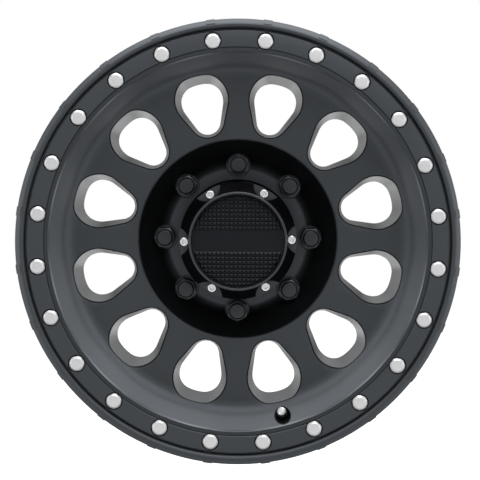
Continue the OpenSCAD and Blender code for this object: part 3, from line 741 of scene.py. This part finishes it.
# The floor is cut into square cells, the rows half a pitch off the middle. Cells outside the band
# become pyramids, save for the smallest scraps along the border.
rows = int(border_r / pitch) + 1
for axis, offset in ((0, 0), (1, 0.5)):
    for k in range(-rows, rows + 1):
        spot, direction = Vector((0, 0, 0)), Vector((0, 0, 0))
        spot[axis], direction[axis] = (k + offset) * pitch * MM, 1
        floor = floor_faces(least_face)
        edges_and_verts = [part for face in floor for part in (*face.verts, *face.edges)]
        bmesh.ops.bisect_plane(insert, geom=list(dict.fromkeys(floor + edges_and_verts)),
                               plane_co=spot, plane_no=direction)
cells = [face for face in floor_faces(least_cell)
         if abs(face.calc_center_median().y) > band_half * MM]
bmesh.ops.inset_individual(insert, faces=cells, thickness=pyramid_side * MM, use_even_offset=True)
tops = list({vert for face in cells for vert in face.verts})
bmesh.ops.translate(insert, verts=tops, vec=(0, 0, pyramid_h * MM))
finished("cap_waffle_disc", insert, insert_matt.material, ["cap_insert"])


# Six socket head screws of bright steel hold the lid on the body. Each stands on one of the flats
# in the lid's cone.
screw_steel = Finish("bright_steel", {"Metallic": 1, "IOR": 1.5})
screw_cloud = screw_steel.noise(500, 3)
screw_steel.feed("Base Color", screw_steel.tint(
    (0.46, 0.46, 0.47), (0.58, 0.58, 0.58), screw_cloud))
screw_steel.feed("Roughness", 0.2 + 0.12 * screw_cloud)

screw_r, screw_head_r, screw_head_h, screw_l, socket_w = 2.5, 4.5, 5, 14, 4
screw = turned(filleted([
    (0, -screw_l, 0),
    (screw_r, -screw_l, 0),
    (screw_r, 0, 0),
    (screw_head_r, 0, 0.2),
    (screw_head_r, screw_head_h, 0.6),
    (screw_r, screw_head_h, 0.2),
    (screw_r - 0.2, screw_head_h - 0.4, 0),
    (0, screw_head_h - 0.4, 0),
], closed=False))
screw = combined(screw, hexagon(socket_w, screw_head_h / 2, screw_head_h + past))
cap_screws = around(shifted(screw, screw_at, flat_z), screw_count, screw_turn)
finished("cap_screw_set", cap_screws, screw_steel.material, ["cap_screws"])


# The valve's tube and core are turned from brass. The core is screwed into the tube, and both
# show only when the cap is off.
brass = Finish("brass", {"Metallic": 1})
brass_cloud = brass.noise(400, 3)
brass.feed("Base Color", brass.tint((0.55, 0.40, 0.16), (0.68, 0.52, 0.25), brass_cloud))
brass.feed("Roughness", 0.28 + 0.15 * brass_cloud)
dressed("valve_tube", brass)
dressed("valve_core", brass)


# The valve's stem is black rubber, moulded round the tube. It is pulled through the hole in the
# cove from behind until its neck snaps into place.
valve_l, tube_r, neck_r, stem_foot = 39.5, 3.8, valve_hole_r - 0.1, 8
rubber_top = valve_l - 13
stem = turned(filleted([
    (tube_r, -valve_wall - stem_foot, 0.5),
    (neck_r + 0.6, -valve_wall - stem_foot, 2),
    (neck_r + 3, -valve_wall - 2, 1),
    (neck_r + 3.2, -valve_wall - 0.1, 0.3),
    (neck_r, -valve_wall - 0.1, 0),
    (neck_r, 0.1, 0),
    (neck_r + 1.3, 0.1, 0.4),
    (neck_r + 1.2, 4, 1),
    (tube_r + 1.9, 8, 1),
    (tube_r + 1.5, rubber_top, 0.5),
    (tube_r, rubber_top, 0),
]), closed=True)
turn(shifted(stem, valve_at, face_h, valve_tilt), valve_angle)
finished("valve_rubber_stem", stem, rubber.material, ["valve_stem"])


# The valve's cap is nickel-plated brass, screwed on the tube. A groove runs round its end.
# It stands in the pocket in the cove, clear of its walls.
nickel = Finish("nickel_plate", {"Metallic": 1})
nickel_cloud = nickel.noise(600, 3)
nickel.feed("Base Color", nickel.tint((0.58, 0.58, 0.59), (0.68, 0.68, 0.68), nickel_cloud))
nickel.feed("Roughness", 0.16 + 0.1 * nickel_cloud)
valve_cap_r, cap_bore_r, cap_bore_top, cap_foot = 4.8, tube_r + 0.1, valve_l - 2, rubber_top + 0.1
valve_cap = turned(filleted([
    (0, cap_bore_top, 0),
    (cap_bore_r, cap_bore_top, 0),
    (cap_bore_r, cap_foot, 0),
    (valve_cap_r, cap_foot, 0.3),
    (valve_cap_r, valve_l - 2.3, 0.2),
    (valve_cap_r - 0.7, valve_l - 1.2, 0.1),
    (valve_cap_r - 1.2, valve_l - 1.7, 0),
    (valve_cap_r - 1.7, valve_l - 0.5, 0),
    (valve_cap_r - 1.9, valve_l, 0.2),
    (0, valve_l, 0),
], closed=False))
turn(shifted(valve_cap, valve_at, face_h, valve_tilt), valve_angle)
finished("valve_metal_cap", valve_cap, nickel.material, ["valve_cap"])


# The studio: a white floor well under the wheel, which is held by its hub, and an even white
# surround. The floor is grey near the wheel, so that less light comes from below.
floor_half, floor_z, grey_r, white_r = 30, -0.8, 900, 1800
floor_bm = bmesh.new()
bmesh.ops.create_grid(floor_bm, x_segments=2, y_segments=2, size=floor_half)
bmesh.ops.translate(floor_bm, verts=floor_bm.verts, vec=(0, 0, floor_z))
floor_mesh = bpy.data.meshes.new("studio_floor")
floor_bm.to_mesh(floor_mesh)
floor_bm.free()
floor_white = Finish("studio_white", {"Roughness": 1, "Specular IOR Level": 0})
floor_far = floor_white.ramp(floor_white.radius((1, 1, 0)), grey_r, white_r)
floor_white.feed("Base Color", floor_white.tint((0.5, 0.5, 0.5), (1, 1, 1), floor_far))
floor_mesh.materials.append(floor_white.material)
floor_object = bpy.data.objects.new("studio_floor", floor_mesh)
bpy.context.scene.collection.objects.link(floor_object)

world = bpy.data.worlds.new("studio")
world.use_nodes = True
surround = world.node_tree.nodes["Background"]
surround.inputs["Color"].default_value = (1, 1, 1, 1)
surround.inputs["Strength"].default_value = 1
bpy.context.scene.world = world
bpy.context.scene.view_settings.view_transform = "Standard"


def lamp(name, at, width, height, power):
    """A rectangular soft light aimed at the wheel, with lengths in metres and power in watts"""
    light = bpy.data.lights.new(name, "AREA")
    light.shape, light.size, light.size_y, light.energy = "RECTANGLE", width, height, power
    holder = bpy.data.objects.new(name, light)
    holder.location = at
    holder.rotation_euler = (-Vector(at)).to_track_quat("-Z", "Y").to_euler()
    bpy.context.scene.collection.objects.link(holder)


# One broad lamp above, one at each side, and one in front and above
lamp("top_light", (0, -0.6, 2.2), 3, 1.4, 120)
lamp("left_light", (-2.3, -0.6, 0.3), 1.4, 1.4, 22)
lamp("right_light", (2.3, -0.6, 0.3), 1.4, 1.4, 26)
lamp("key_light", (0.6, -2.2, 2), 1.2, 1.2, 30)

# The camera looks along the wheel's axis. The photograph shows the wheel below the point where
# lines along the axis meet, so the frame is shifted by as much.
frame_px, focal_px, lip_distance, sensor_w = 480, 1184.2, 1.25, 36
lip_centre_px, axis_meets_px = Vector((237.9, 241.67)), Vector((236.8, 184.0))
camera_data = bpy.data.cameras.new("camera")
camera_data.sensor_width, camera_data.lens = sensor_w, sensor_w * focal_px / frame_px
camera_data.shift_x = (frame_px / 2 - axis_meets_px.x) / frame_px
camera_data.shift_y = (axis_meets_px.y - frame_px / 2) / frame_px
camera = bpy.data.objects.new("camera", camera_data)
camera_roll = radians(-0.37)
camera.rotation_euler = (pi / 2, camera_roll, 0)
below = (lip_centre_px - axis_meets_px) * lip_distance / focal_px
below = Matrix.Rotation(camera_roll, 2) @ below
camera.location = (-below.x, -front_z * MM - lip_distance, below.y)
bpy.context.scene.collection.objects.link(camera)
bpy.context.scene.camera = camera
